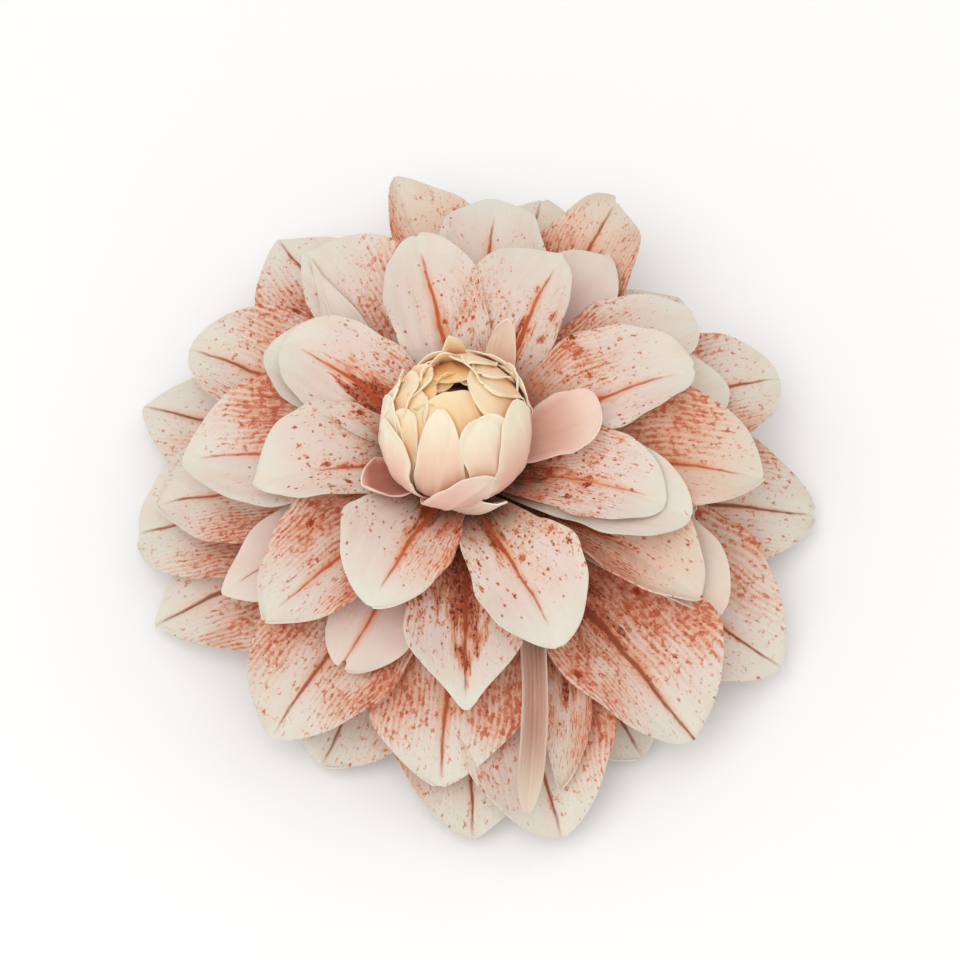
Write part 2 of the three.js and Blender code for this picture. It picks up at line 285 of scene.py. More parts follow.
# %% The printed marks
# Dashes and their rows are counted across half a petal, all other marks by the centimetre of cloth.
DASHES_ACROSS = 18
FINE_DASHES_ACROSS = 34
BARE_THREADS_ACROSS = 46
ROWS_ACROSS = 15
DROPS_PER_CM = 2.6
SPECKS_PER_CM = 8.0
# The noise level over which a dash is inked, how much a full amount lowers it, and its soft edge.
DASH_LEVEL = 0.575
FINE_DASH_LEVEL = 0.60
DASH_LOWERED = 0.19
DASH_SOFT = 0.27
FULL_AMOUNT = 1.25
# Centimetres: how far the rib's line wanders, and how far from it the stipple runs.
RIB_WANDER = 0.16
STIPPLE_ASIDE = 0.17
MARKS = ["Dashes", "Blush", "Rib", "Halo", "Stipple", "Drops", "Hearts", "Stain", "Root"]
marks, given, put = new_group(
    "petal print", {"Strength": 1.0}, {mark: "NodeSocketFloat" for mark in MARKS}
)
across, along = marks.map("rib")
u = marks.less(marks.times(across, 2.0), 1.0)
edge = marks.math("ABSOLUTE", u)
x_cm, y_cm = marks.map("cloth")
left, right, drops = marks.parts("print_flanks")
stain, rib_end, rib_width = marks.parts("print_rib")
seed, ochre, _ = marks.parts("print_seed")
dash_run, dash_end, speckled = marks.parts("print_form")


def put_mark(label, mask):
    marks.join(marks.times(mask, given["Strength"]), put[label])


# Slow patches decide where the cloth took more of the print.
patches = marks.grain(x_cm, 1.6, y_cm, 0.9, seed)
patchy = marks.fade(patches, 0.34, 0.62)

# Dashes fan out with the petal, because their place across it is a share of its width. They are
# denser in rows, towards the rims and towards the root, and stop before the tip.
on_left = marks.fade(u, -0.06, 0.06)
sway = marks.grain(u, 2.5, y_cm, 0.7, seed, 1.0)
phase = marks.add(marks.times(u, ROWS_ACROSS), marks.times(sway, 2.6))
rows = marks.add(0.5, marks.times(marks.math("SINE", marks.times(phase, 2 * math.pi)), 0.5))
flank = marks.add(marks.times(left, on_left), marks.times(right, marks.less(1.0, on_left)))
tip_gap = marks.fade(marks.add(along, marks.times(marks.less(patches, 0.5), 0.3)), dash_end,
                     marks.less(dash_end, 0.38))
reach = marks.times(tip_gap, marks.fade(along, 0.0, 0.1))
rootward = marks.add(0.6, marks.times(marks.fade(along, 0.95, 0.35), 0.95))
amount = marks.times(flank, reach, rootward, marks.add(0.6, marks.times(patchy, 0.8)),
                     marks.add(0.65, marks.times(rows, 0.6)), marks.add(0.5, marks.times(edge, 1.0)))
amount = marks.math("MINIMUM", amount, FULL_AMOUNT)


def dashes(count, length_per_cm, shift, level):
    """Noise that is short across the petal and long along it, cut off at a level that the amount lowers."""
    grain = marks.grain(u, count, y_cm, length_per_cm, marks.add(seed, shift), 2.0, 0.65)
    low = marks.less(level, marks.times(amount, DASH_LOWERED))
    return marks.fade(grain, low, marks.add(low, DASH_SOFT))


coarse = dashes(DASHES_ACROSS, dash_run, 0.0, DASH_LEVEL)
fine = dashes(FINE_DASHES_ACROSS, marks.times(dash_run, 1.5), 5.0, FINE_DASH_LEVEL)
both = marks.math("MAXIMUM", coarse, marks.times(fine, 0.55))
bare_threads = marks.grain(u, BARE_THREADS_ACROSS, y_cm, 2.2, seed, 2.0, 0.6)
both = marks.times(both, marks.less(1.0, marks.times(marks.fade(bare_threads, 0.52, 0.66), 0.45)))
put_mark("Dashes", marks.times(both, marks.fade(amount, 0.0, 0.10)))
put_mark("Blush", marks.fade(amount, 0.15, 1.0))

# The line on the rib wanders a little, and thins out towards its end.
wander = marks.less(marks.grain(x_cm, 0.0, y_cm, 0.9, seed, 1.0), 0.5)
off_rib = marks.less(x_cm, marks.times(wander, RIB_WANDER))
from_rib = marks.math("ABSOLUTE", off_rib)
run = marks.less(1.0, marks.math("DIVIDE", along, rib_end, clamp=True))
ragged = marks.grain(x_cm, 18.0, y_cm, 4.0, seed)
line = marks.add(
    marks.times(rib_width, marks.add(0.30, marks.times(marks.fade(run, 0.0, 0.55), 0.70))),
    marks.times(marks.less(ragged, 0.5), 0.07),
)
has_rib = marks.fade(rib_width, 0.0, 0.01)
rib = marks.times(marks.fade(from_rib, marks.add(line, 0.032), marks.less(line, 0.030)),
                  marks.fade(run, 0.0, 0.10), has_rib)
put_mark("Rib", rib)
halo = marks.times(marks.fade(from_rib, marks.add(marks.times(line, 2.4), 0.12), marks.times(line, 0.6)),
                   marks.fade(run, 0.0, 0.3), marks.add(0.5, marks.times(patchy, 0.5)), has_rib)
put_mark("Halo", halo)

# The stipple runs beside the rib, on one side of it.
beside = marks.math("ABSOLUTE", marks.add(off_rib, STIPPLE_ASIDE))
dots = marks.grain(x_cm, 15.0, y_cm, 10.0, seed, 2.0, 0.7)
stipple = marks.times(
    marks.fade(beside, 0.11, 0.02),
    marks.fade(dots, 0.46, 0.58),
    marks.fade(run, 0.18, 0.5),
    marks.fade(along, 0.05, 0.2),
    ochre,
)
# A fainter mist of the same yellow lies over the flanks where the slow patches are.
mist = marks.times(
    marks.fade(dots, 0.5, 0.62), marks.fade(patches, 0.44, 0.6), marks.fade(along, 0.85, 0.55),
    marks.fade(along, 0.1, 0.3), marks.times(ochre, 0.8),
)
put_mark("Stipple", marks.math("MAXIMUM", stipple, mist))

# Round specks, with a rim that is ragged where the threads took the ink unevenly.
crumbs = marks.grain(x_cm, 42.0, y_cm, 30.0, seed, 0.0)
ragged_edge = marks.add(marks.times(marks.less(dots, 0.5), 0.4), marks.times(marks.less(crumbs, 0.5), 0.3))


def round_drops(per_cm, smallest, largest, most, shift):
    """Round drops, one to a cell. A drop shows if its own random number is under the amount there."""
    spot = marks.place(
        marks.add(marks.times(x_cm, per_cm), marks.times(seed, 3.1 + shift)),
        marks.add(marks.times(y_cm, per_cm * 0.72), marks.times(seed, 1.7 + shift)),
    )
    cells = marks.node("ShaderNodeTexVoronoi", {"Vector": spot, "Scale": 1.0}, voronoi_dimensions="2D")
    draw = marks.node("ShaderNodeSeparateXYZ", {"Vector": cells.outputs["Color"]}).outputs
    size = marks.add(smallest, marks.times(draw[0], largest - smallest))
    shown = marks.math("LESS_THAN", draw[1], most)
    distance = marks.add(cells.outputs["Distance"], ragged_edge)
    whole = marks.fade(distance, size, marks.times(size, 0.35))
    dark = marks.fade(draw[2], 0.35, 0.65)
    heart = marks.times(dark, marks.fade(distance, marks.times(size, 0.8), marks.times(size, 0.3)))
    return marks.times(whole, shown), marks.times(heart, shown)


near_root = marks.fade(along, 0.9, 0.3)
clear_of_rib = marks.add(0.45, marks.times(marks.fade(from_rib, 0.5, 0.1), 0.55))
clustered = marks.add(0.35, marks.times(marks.fade(patches, 0.42, 0.58), 0.95))
large, dark = round_drops(
    DROPS_PER_CM, 0.09, 0.34, marks.times(drops, near_root, clear_of_rib, clustered), 0.0
)
small, small_dark = round_drops(
    SPECKS_PER_CM, 0.05, 0.38,
    marks.times(marks.add(drops, marks.times(amount, speckled)), near_root, clustered), 0.9,
)
put_mark("Drops", marks.math("MAXIMUM", large, marks.times(small, 0.9)))
put_mark("Hearts", marks.math("MAXIMUM", dark, marks.times(small_dark, 0.6)))

# The stain spreads from the root along the rib, in streaks.
streaks = marks.grain(x_cm, 7.0, y_cm, 1.3, seed, 3.0, 0.65)
front = marks.add(
    along, marks.add(marks.times(edge, 0.62), marks.times(marks.less(streaks, 0.5), 0.95))
)
front = marks.add(front, marks.times(marks.less(patches, 0.5), 0.55))
soaked = marks.fade(front, stain, marks.times(stain, 0.6))
put_mark("Stain", marks.times(soaked, marks.fade(stain, 0.0, 0.2)))
# Darker at the very root: painted shade where the petal goes in under the layers above it and under the
# bud. That is no print, so no strength weakens it.
marks.join(marks.fade(along, 0.5, 0.18), put["Root"])
print("group:", marks.tree.name)

# %% [markdown]
# The dye under the print is not one colour. Each petal was dipped: warm near its root, pale
# lilac in its body and cream at its tip and rim. That smooth change is stored on the petal's
# points, where the petal is shaped, and the shader adds the cloudiness of a hand-dyed cloth.

# %% Ground colour of the cloth
WARM_CLOUD = colour(232, 190, 162)
GREY_STRAND = colour(214, 196, 182)
ground, given, put = new_group("dyed ground", {"Cloudiness": 1.0}, {"Color": "NodeSocketColor"})
dye = ground.attribute("dye").outputs["Color"]
x_cm, y_cm = ground.map("cloth")
seed = ground.parts("print_seed")[0]
clouds = ground.grain(x_cm, 2.2, y_cm, 1.1, seed)
warm = ground.mix(ground.times(ground.fade(clouds, 0.42, 0.7), 0.22, given["Cloudiness"]),
                  dye, WARM_CLOUD)
strands = ground.grain(x_cm, 24.0, y_cm, 1.6, seed, 1.0, 0.6)
ground.join(
    ground.mix(ground.times(ground.fade(strands, 0.5, 0.75), 0.16, given["Cloudiness"]),
               warm, GREY_STRAND),
    put["Color"],
)
print("group:", ground.tree.name)


# %% [markdown]
# The same cloth is seen from both sides. Ink soaks through it only in part, so the underside
# is a second material with the same groups and a weaker print. Light goes a little way into the
# pale cloth of the bud, which makes its folds glow: subsurface scattering gives that, and its
# amount is the same all over, so it is set on the shader. The printed cloth does without it,
# because its ink hides the glow.

# %% Petal materials
CLOTH_ROUGHNESS = 0.85
CLOTH_SHEEN = 0.12
THREAD_DEPTH = 0.4
UNEVEN_PER_METRE = 400
BLOTCHES_PER_METRE = 1100
DASH_INK = colour(190, 88, 56)
DASH_INK_DARK = colour(142, 54, 36)
BLUSH_INK = colour(224, 160, 124)
DASH_WASH = colour(221, 150, 120)
RIB_INK = colour(190, 84, 44)
RIB_INK_BROWN = colour(142, 70, 48)
HALO_INK = colour(226, 152, 94)
OCHRE_INK = colour(220, 148, 90)
DROP_INK = colour(142, 50, 22)
DROP_INK_LIGHT = colour(192, 88, 46)
STAIN_WASH = colour(220, 142, 100)
STAIN_INK = colour(174, 74, 42)
STAIN_INK_DARK = colour(112, 42, 26)
# Towards the root the cloth turns olive, partly its own colour and partly painted shade, then dark brown,
# which is painted shade alone.
ROOT_OLIVE_AND_SHADE = colour(122, 94, 50)
ROOT_SHADE = colour(78, 42, 24)


def cloth_bump(dyes, sockets, strength):
    """The weave as a bump, and as a roughness that is a little higher on its threads."""
    seed = dyes.parts("print_seed")[0]
    threads = dyes.node("ShaderNodeGroup", node_tree=weave.tree)
    dyes.join(seed, threads.inputs["Seed"])
    bump = dyes.node(
        "ShaderNodeBump",
        {"Strength": strength, "Distance": THREAD_DEPTH * MM, "Height": threads.outputs["Height"]},
    )
    dyes.join(bump.outputs["Normal"], sockets["Normal"])
    rough = dyes.add(0.72, dyes.times(threads.outputs["Fibre"], 0.25))
    dyes.join(rough, sockets["Roughness"])


def printed_cloth(name, strength):
    """Dyed cloth with the whole print, at a given strength of ink, and painted shade at the petal's root.
    """
    material, dyes, sockets = new_material(name, CLOTH_ROUGHNESS, sheen=CLOTH_SHEEN)
    paint = dyes.node("ShaderNodeGroup", node_tree=ground.tree).outputs["Color"]
    printed = dyes.node("ShaderNodeGroup", node_tree=marks.tree)
    dyes.join(strength, printed.inputs["Strength"])
    mask = printed.outputs
    brown = dyes.parts("print_seed")[2]
    uneven = dyes.noise(dyes.object_place(UNEVEN_PER_METRE), 0.0)
    blotches = dyes.fade(dyes.noise(dyes.object_place(BLOTCHES_PER_METRE), 2.0, 0.6), 0.44, 0.58)
    for label, faint in (("Blush", BLUSH_INK), ("Halo", HALO_INK), ("Stipple", OCHRE_INK)):
        paint = dyes.mix(dyes.times(mask[label], 0.7), paint, faint)
    # An ink turns grey where it thins out, so each dark ink lies on a wash of a clearer, paler one.
    ink = dyes.mix(dyes.math("MAXIMUM", mask["Stain"], dyes.times(blotches, 0.4)), DASH_INK, DASH_INK_DARK)
    paint = dyes.mix(dyes.times(dyes.fade(mask["Stain"], 0.0, 0.5), 0.8), paint, STAIN_WASH)
    paint = dyes.mix(dyes.times(dyes.fade(mask["Stain"], 0.3, 1.0), 0.8), paint, STAIN_INK)
    paint = dyes.mix(dyes.times(dyes.fade(mask["Stain"], 0.4, 0.8), blotches, 0.9), paint, STAIN_INK_DARK)
    # Painted shade at the root: the olive first, then the dark brown where the shade is deepest.
    paint = dyes.mix(dyes.times(mask["Root"], 0.7), paint, ROOT_OLIVE_AND_SHADE)
    paint = dyes.mix(dyes.times(mask["Root"], mask["Root"], 0.6), paint, ROOT_SHADE)
    paint = dyes.mix(dyes.times(dyes.fade(mask["Dashes"], 0.0, 0.5), 0.75), paint, DASH_WASH)
    inked = dyes.times(dyes.fade(mask["Dashes"], 0.2, 1.0), dyes.add(0.5, dyes.times(uneven, 0.5)))
    paint = dyes.mix(inked, paint, ink)
    paint = dyes.mix(dyes.times(mask["Drops"], 0.9), paint, DROP_INK_LIGHT)
    paint = dyes.mix(dyes.times(mask["Hearts"], 0.85), paint, DROP_INK)
    paint = dyes.mix(dyes.times(mask["Rib"], 0.92), paint, dyes.mix(brown, RIB_INK, RIB_INK_BROWN))
    dyes.join(paint, sockets["Base Color"])
    cloth_bump(dyes, sockets, 0.6)
    return material


def bud_cloth(name, cloudiness):
    """Dyed cloth without a print. More light goes into it than into the large petals."""
    material, dyes, sockets = new_material(name, CLOTH_ROUGHNESS, soak=0.4, sheen=CLOTH_SHEEN)
    paint = dyes.node("ShaderNodeGroup", node_tree=ground.tree)
    dyes.join(cloudiness, paint.inputs["Cloudiness"])
    dyes.join(paint.outputs["Color"], sockets["Base Color"])
    cloth_bump(dyes, sockets, 0.22)
    return material


PRINTED_TOP = printed_cloth("printed cloth", 1.0)
PRINTED_BACK = printed_cloth("printed cloth, underside", 0.55)
BUD_TOP = bud_cloth("bud cloth", 0.35)
BUD_BACK = bud_cloth("bud cloth, inside", 0.5)
PRINTED = [PRINTED_TOP, PRINTED_BACK]
BUD_CLOTH = [BUD_TOP, BUD_BACK]
print("petal materials:", [m.name for m in bpy.data.materials if "cloth" in m.name])

# %% [markdown]
# The calyx, the hubs that the petals are welded to and the peg are moulded. The green one has
# faint lengthwise veins and a bloom of lighter colour where it was rubbed. The hubs hardly
# show: they are the same green, darker.

# %% Moulded materials
VEINS_PER_METRE = 260
VEIN_RUNS_PER_METRE = 90
VEIN_DEPTH = 0.3


def moulded(name, base, rubbed, veins):
    """Moulded plastic: lengthwise clouds of a rubbed colour, raised a little."""
    material, dyes, sockets = new_material(name, 0.55)
    cloud = dyes.noise(dyes.object_place(VEINS_PER_METRE, VEIN_RUNS_PER_METRE), 3.0, 0.6)
    dyes.join(dyes.mix(dyes.fade(cloud, 0.4, 0.75), base, rubbed), sockets["Base Color"])
    dyes.join(dyes.add(0.5, dyes.times(cloud, 0.25)), sockets["Roughness"])
    bump = dyes.node(
        "ShaderNodeBump", {"Strength": veins, "Distance": VEIN_DEPTH * MM, "Height": cloud}
    )
    dyes.join(bump.outputs["Normal"], sockets["Normal"])
    return material


CALYX_GREEN = moulded("moulded green", colour(104, 118, 66), colour(142, 150, 96), 0.5)
HUB_GREEN = moulded("hub green", colour(96, 92, 56), colour(132, 120, 78), 0.3)
PEG_WHITE = moulded("peg white", colour(226, 220, 200), colour(238, 234, 220), 0.1)
print("moulded materials: calyx, hub, peg")

# %% [markdown]
# One petal is modelled first, as a flat blank: a fine grid with its rows closer together near
# the tip, where the outline turns fastest. All petals are copies of it, each bent to its own
# place. Bending by hand, with proportional editing, would do for one petal but not for eighty,
# so a function moves every point of a copy: along the rib's curve, out to the side by the
# outline's width, and up by the cup, the fold at the rib, and the waves of a loose cloth rim.

# %% The petal blank
ACROSS = 30
ALONG = 48
TIP_AT = 0.996
TIP_CROWDING = 1.35
bpy.ops.mesh.primitive_grid_add(x_subdivisions=ACROSS, y_subdivisions=ALONG, size=2, location=(0, 0, 0))
blank = bpy.context.active_object
blank.name = "petal_blank"
corners = np.empty(len(blank.data.vertices) * 3)
blank.data.vertices.foreach_get("co", corners)
corners = corners.reshape(-1, 3)
# Seen from the bud, u is 1 on a petal's left rim and -1 on its right one.
BLANK_U = -corners[:, 0]
BLANK_T = TIP_AT * (1 - (1 - (corners[:, 1] + 1) / 2) ** TIP_CROWDING)
print("blank points:", len(corners))


# %% The outline and the rib
# A petal's "at" is the azimuth of its tip, "reach" and "high" are where the tip lies, "lift" and
# "droop" are the rib's slopes in degrees at the root and the tip. Lengths are in millimetres.
PETAL = {
    "rootRadius": 5, "sway": 0, "cup": 24, "keel": 0.25, "rootPull": 0.38, "tipPull": 0.38,
    # The outline: where it is widest, its width at the root, how fast it widens, how blunt its tip is.
    "belly": 0.6, "claw": 0.24, "waist": 1.8, "point": 1.5,
    # The finer shape: a beak at the tip, a notch in it, waves and pleats, a rim turned up, a tip bent down.
    "beak": 0.0, "notch": 0.0, "wave": 1.1, "pleats": 0.12, "rightRim": 0.0, "crest": 0.0,
    # One flank wider or higher than the other, a flank folded over along a line, a tip that leans out.
    "skew": 0.0, "tilt": 0.0, "fold": 0.0, "foldRoot": 0.0, "foldTip": 0.0, "flare": 0.0,
    # The print: dashes left and right, specks, stain, the end and half width of the rib's line.
    "left": 0.5, "right": 0.5, "drops": 0.2, "stain": 0.3, "ribEnd": 0.85, "ribWide": 0.55,
    "ochre": 0.7, "brown": 0.0,
    # How many dashes end on a centimetre, where they stop, and how much they break up into specks.
    "dashRun": 6.5, "dashEnd": 0.98, "speckled": 0.3,
}


def smooth(value, low, high):
    """0 at low, 1 at high, with a soft step between, for an array."""
    share = np.clip((value - low) / (high - low), 0, 1)
    return share * share * (3 - 2 * share)


def outline(petal, t):
    """Width of a petal along its rib, as a share of its full width."""
    belly, claw = petal["belly"], petal["claw"]
    widening = claw + (1 - claw) * (1 - (1 - np.minimum(t / belly, 1)) ** petal["waist"])
    past = np.clip((t - belly) / (1 - belly), 0, 1)
    closing = (1 - past**2.1) ** (1 / petal["point"])
    closing *= 1 - petal["beak"] * smooth(past, 0.35, 0.9)
    return np.where(t <= belly, widening, closing)


def outward(angle):
    """The level direction at an azimuth in radians."""
    return np.array([math.cos(angle), math.sin(angle), 0.0])


UP = np.array([0.0, 0.0, 1.0])


def rib_points(petal, t):
    """Places on the rib and its directions, for an array of shares of its length."""
    tip = outward(math.radians(petal["at"]))
    root = outward(math.radians(petal["at"] - petal["sway"]))
    start = petal["rootRadius"] * root + petal["rootZ"] * UP
    end = petal["reach"] * tip + petal["high"] * UP
    length = np.linalg.norm(end - start)
    lift, droop = math.radians(petal["lift"]), math.radians(petal["droop"])
    first = start + petal["rootPull"] * length * (math.cos(lift) * root + math.sin(lift) * UP)
    # A bud petal arrives over the side that it faces, wherever its tip is turned.
    arriving = outward(math.radians(petal["from"])) if "from" in petal else tip
    second = end - petal["tipPull"] * length * (math.cos(droop) * arriving + math.sin(droop) * UP)
    s = (1 - t)[:, None]
    t = t[:, None]
    place = s**3 * start + 3 * s * s * t * first + 3 * s * t * t * second + t**3 * end
    slope = s * s * (first - start) + 2 * s * t * (second - first) + t * t * (end - second)
    return place, slope / np.linalg.norm(slope, axis=1)[:, None], length


def toward(azimuth, elevation):
    """The direction at an azimuth and an elevation, in degrees."""
    across = math.cos(math.radians(elevation))
    return across * outward(math.radians(azimuth)) + math.sin(math.radians(elevation)) * UP


BUD_MIDDLE_Z = 52.5
BUD_WIDE = 16.4
BUD_ABOVE = 18.0
BUD_BELOW = 13.5
SHELL_ROOT = -65
SHELL_TURN = 8
SHELL_LENGTH = 32.0
SHELL_ROOT_SIZE = 0.84


def shell_points(petal, t):
    """The same for a petal that hugs the bud: its rib lies on an egg, scaled by the petal's shell."""
    root = toward(petal["from"], SHELL_ROOT)
    turn = toward(petal["from"], SHELL_TURN)
    tip = toward(petal["at"], petal["top"])
    s = (1 - t)[:, None]
    t = t[:, None]
    free = s * s * root + 2 * s * t * turn + t * t * tip
    far = np.linalg.norm(free, axis=1)[:, None]
    aim = free / far
    growth = 2 * (s * (turn - root) + t * (tip - turn))
    turning = (growth - aim * np.sum(growth * aim, axis=1)[:, None]) / far
    semi = np.tile([BUD_WIDE, BUD_WIDE, BUD_ABOVE], (len(aim), 1))
    semi[aim[:, 2] < 0, 2] = BUD_BELOW
    size = petal["shell"] * (SHELL_ROOT_SIZE + (1 - SHELL_ROOT_SIZE) * smooth(t, 0.0, 0.4))
    place = semi * aim * size + BUD_MIDDLE_Z * UP
    place = place + petal["flare"] * smooth(t, 0.45, 1.0) * outward(math.radians(petal["at"]))
    along = semi * turning
    along /= np.linalg.norm(along, axis=1)[:, None]
    out = aim / semi
    side = np.cross(along, out / np.linalg.norm(out, axis=1)[:, None])
    return place, along, side, SHELL_LENGTH * petal["shell"]


print("petal values:", len(PETAL))

# %% Bending a copy of the blank
SEED = 20
UNEVEN_SIDES = 0.035
NOTCH_WIDE = 0.22
KEEL_ROUND = 0.006
GROOVE_WIDE = 0.9
GROOVE_DEEP = 0.35
draws = random.Random(SEED)


def blend(share, first, second):
    """A mix of two colours for each number of an array."""
    share = np.asarray(share)[:, None]
    return (1 - share) * np.array(first) + share * np.array(second)


def bent(petal, shift=(0, 0)):
    """Points in millimetres, place on the print, place on the cloth, and dye of one petal."""
    u, t = BLANK_U, BLANK_T.copy()
    phase = [draws.uniform(0, 2 * math.pi) for _ in range(6)]
    rate = draws.uniform(1.6, 2.6)
    t = t - petal["notch"] * np.exp(-((u / NOTCH_WIDE) ** 2)) * smooth(t, 0.8, 1)
    if "shell" in petal:
        place, along, side, length = shell_points(petal, t)
    else:
        place, along, length = rib_points(petal, t)
        facing = math.radians(petal.get("from", petal["at"] - petal["sway"] / 2))
        side = np.array([-math.sin(facing), math.cos(facing), 0.0])
        side = side - (along @ side)[:, None] * along
    side /= np.linalg.norm(side, axis=1)[:, None]
    normal = np.cross(along, side)

    half = petal["width"] / 2 * outline(petal, t)
    uneven = np.sin(2 * math.pi * 2.3 * t + phase[0] + 2.0 * (u > 0))
    uneven += 0.5 * np.sin(2 * math.pi * 5.1 * t + phase[3] + 1.3 * (u > 0))
    half = half * (1 + UNEVEN_SIDES * uneven * smooth(t, 0.2, 0.5))
    half = half * (1 + petal["skew"] * np.sign(u) * smooth(t, 0.1, 0.4))
    if "shell" in petal:
        curl = 0.01 + half / (BUD_WIDE * petal["shell"])
    else:
        curl = math.radians(petal["cup"]) * (0.75 + 0.5 * (1 - t))
    rise = half * (1 - np.cos(curl * u)) / curl
    rise += half * petal["keel"] * (np.sqrt(u * u + KEEL_ROUND) - math.sqrt(KEEL_ROUND))

    rim = np.abs(u)
    free = smooth(t, 0.15, 0.45)
    x = u * half
    rise -= GROOVE_DEEP * np.exp(-((x / GROOVE_WIDE) ** 2)) * (1 - smooth(t, 0.8, 1))
    turn = np.where(u > 0, phase[1], phase[2])
    rise += petal["wave"] * rim**3 * free * np.sin(2 * math.pi * rate * t + turn)
    rise += 0.25 * petal["wave"] * rim**2 * free * np.sin(2 * math.pi * 2.7 * rate * t + turn + phase[3])
    rise += petal["pleats"] * np.sin(2 * math.pi * (3.2 * u + 0.3 * t) + phase[4]) * free * (1 - t) * 2
    rise += half * petal["rightRim"] * (u < 0) * (np.clip(rim - 0.5, 0, 1) / 0.5) ** 2 * free
    tipward = np.clip((t - petal["belly"]) / (1 - petal["belly"]), 0, 1)
    beyond = np.sqrt(u * u * 0.8 + tipward**2)
    rise -= petal["crest"] * smooth(beyond, 0.78, 1.15) * free
    rise += petal["tilt"] * u * free
    crease = petal["foldRoot"] + (petal["foldTip"] - petal["foldRoot"]) * t
    rise -= petal["fold"] * smooth(crease - u, 0.0, 0.12) * free

    points = place + side * (half * np.sin(curl * u) / curl)[:, None] + normal * rise[:, None]
    points[:, 0] += shift[0]
    points[:, 1] += shift[1]
    cloth = np.stack([x / 10, t * length / 10], axis=1)
    # The print fans out as far as the belly, and runs on straight from there.
    fan = u * np.where(t > petal["belly"], outline(petal, t), 1.0)

    tint = petal["tint"]
    paint = blend(smooth(t, 0.0, tint["spread"]), tint["root"], tint["body"])
    paleness = np.maximum(smooth(t, tint["from"], 0.98), smooth(rim, 0.72, 1.0) * 0.7)
    paint = (1 - paleness[:, None]) * paint + paleness[:, None] * np.array(tint["tip"])
    return points, np.stack([(fan + 1) / 2, t], axis=1), cloth, paint


def store(mesh, name, kind, field, values):
    """Writes one value for each point of a mesh as a named attribute."""
    layer = mesh.attributes.new(name, kind, "POINT")
    layer.data.foreach_set(field, np.ascontiguousarray(values, dtype=np.float32).ravel())


def petal_mesh(petal, shift=(0, 0)):
    """A copy of the blank, bent to one petal, with its maps and its own share of the print."""
    bpy.ops.object.select_all(action="DESELECT")
    blank.select_set(True)
    bpy.context.view_layer.objects.active = blank
    bpy.ops.object.duplicate(linked=False)
    made = bpy.context.active_object
    mesh = made.data
    points, rib_map, cloth, paint = bent(petal, shift)
    mesh.vertices.foreach_set("co", (points * MM).ravel())
    corner = np.empty(len(mesh.loops), dtype=np.int32)
    mesh.loops.foreach_get("vertex_index", corner)
    mesh.uv_layers[0].name = "rib"
    mesh.uv_layers["rib"].data.foreach_set("uv", rib_map[corner].ravel())
    cloth_map = mesh.uv_layers.new(name="cloth")
    cloth_map.data.foreach_set("uv", cloth[corner].ravel())
    alike = np.ones((len(points), 1))
    seed = draws.uniform(0, 50)
    store(mesh, "print_flanks", "FLOAT_VECTOR", "vector",
          alike * [petal["left"], petal["right"], petal["drops"]])
    store(mesh, "print_rib", "FLOAT_VECTOR", "vector",
          alike * [petal["stain"], petal["ribEnd"], petal["ribWide"] / 10])
    store(mesh, "print_seed", "FLOAT_VECTOR", "vector", alike * [seed, petal["ochre"], petal["brown"]])
    store(mesh, "print_form", "FLOAT_VECTOR", "vector",
          alike * [petal["dashRun"], petal["dashEnd"], petal["speckled"]])
    store(mesh, "dye", "FLOAT_COLOR", "color", paint)
    mesh.update()
    return made


print("each petal has", ACROSS * ALONG, "faces before it gets its thickness")

# %% [markdown]
# A layer is finished as one piece of cloth, because that is how it is made: its petals are
# one stamped sheet, welded to a moulded hub. The copies are joined, and a Solidify modifier
# gives them the thickness of the cloth and the underside its own material. The hub is turned
# up from a circle, ring by ring, and joined last.

# %% Helpers for whole layers
CLOTH_THICK = 0.34


def activate(objects):
    """Selects only these objects and makes the first one active."""
    bpy.ops.object.select_all(action="DESELECT")
    for thing in objects:
        thing.select_set(True)
    bpy.context.view_layer.objects.active = objects[0]


def turned(name, profile, sides, material):
    """A body turned about the axis: a ring at each [radius, height] in millimetres, joined to the last."""
    bpy.ops.object.select_all(action="DESELECT")
    radius, height = profile[0]
    bpy.ops.mesh.primitive_circle_add(
        vertices=sides, radius=radius * MM, location=(0, 0, height * MM), fill_type="NOTHING"
    )
    made = bpy.context.active_object
    made.name = name
    bpy.ops.object.mode_set(mode="EDIT")
    bpy.ops.mesh.select_all(action="SELECT")
    for next_radius, next_height in profile[1:]:
        bpy.ops.mesh.extrude_edges_move(
            TRANSFORM_OT_translate={"value": (0, 0, (next_height - height) * MM)}
        )
        share = next_radius / radius
        bpy.ops.transform.resize(value=(share, share, 1))
        radius, height = next_radius, next_height
    bpy.ops.mesh.select_all(action="SELECT")
    bpy.ops.mesh.remove_doubles(threshold=0.01 * MM)
    bpy.ops.mesh.normals_make_consistent(inside=False)
    bpy.ops.object.mode_set(mode="OBJECT")
    bpy.ops.object.transform_apply(location=True, rotation=True, scale=True)
    made.data.materials.append(material)
    return made


def layer(name, node, slot, defaults, petals, cloths, middle, shift=(0, 0)):
    """One layer: its petals as thin cloth, and what carries them."""
    blank.data.materials.clear()
    for cloth in cloths:
        blank.data.materials.append(cloth)
    copies = [petal_mesh({**PETAL, **defaults, **petal}, shift) for petal in petals]
    activate(copies)
    bpy.ops.object.join()
    made = bpy.context.active_object
    made.name = name
    thick = made.modifiers.new("thickness", "SOLIDIFY")
    thick.thickness = CLOTH_THICK * MM
    thick.offset = 0
    thick.material_offset = 1
    thick.material_offset_rim = 0
    bpy.ops.object.modifier_apply(modifier="thickness")
    bpy.ops.object.shade_smooth_by_angle(angle=math.radians(50))
    activate([made, middle])
    bpy.ops.object.join()
    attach(made, "root")
    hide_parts(node)
    print(name, len(made.data.polygons), "faces")
    return made


HUB_HOLE = 2.3
HUB_EDGE = 0.4
ROUND_SIDES = 48


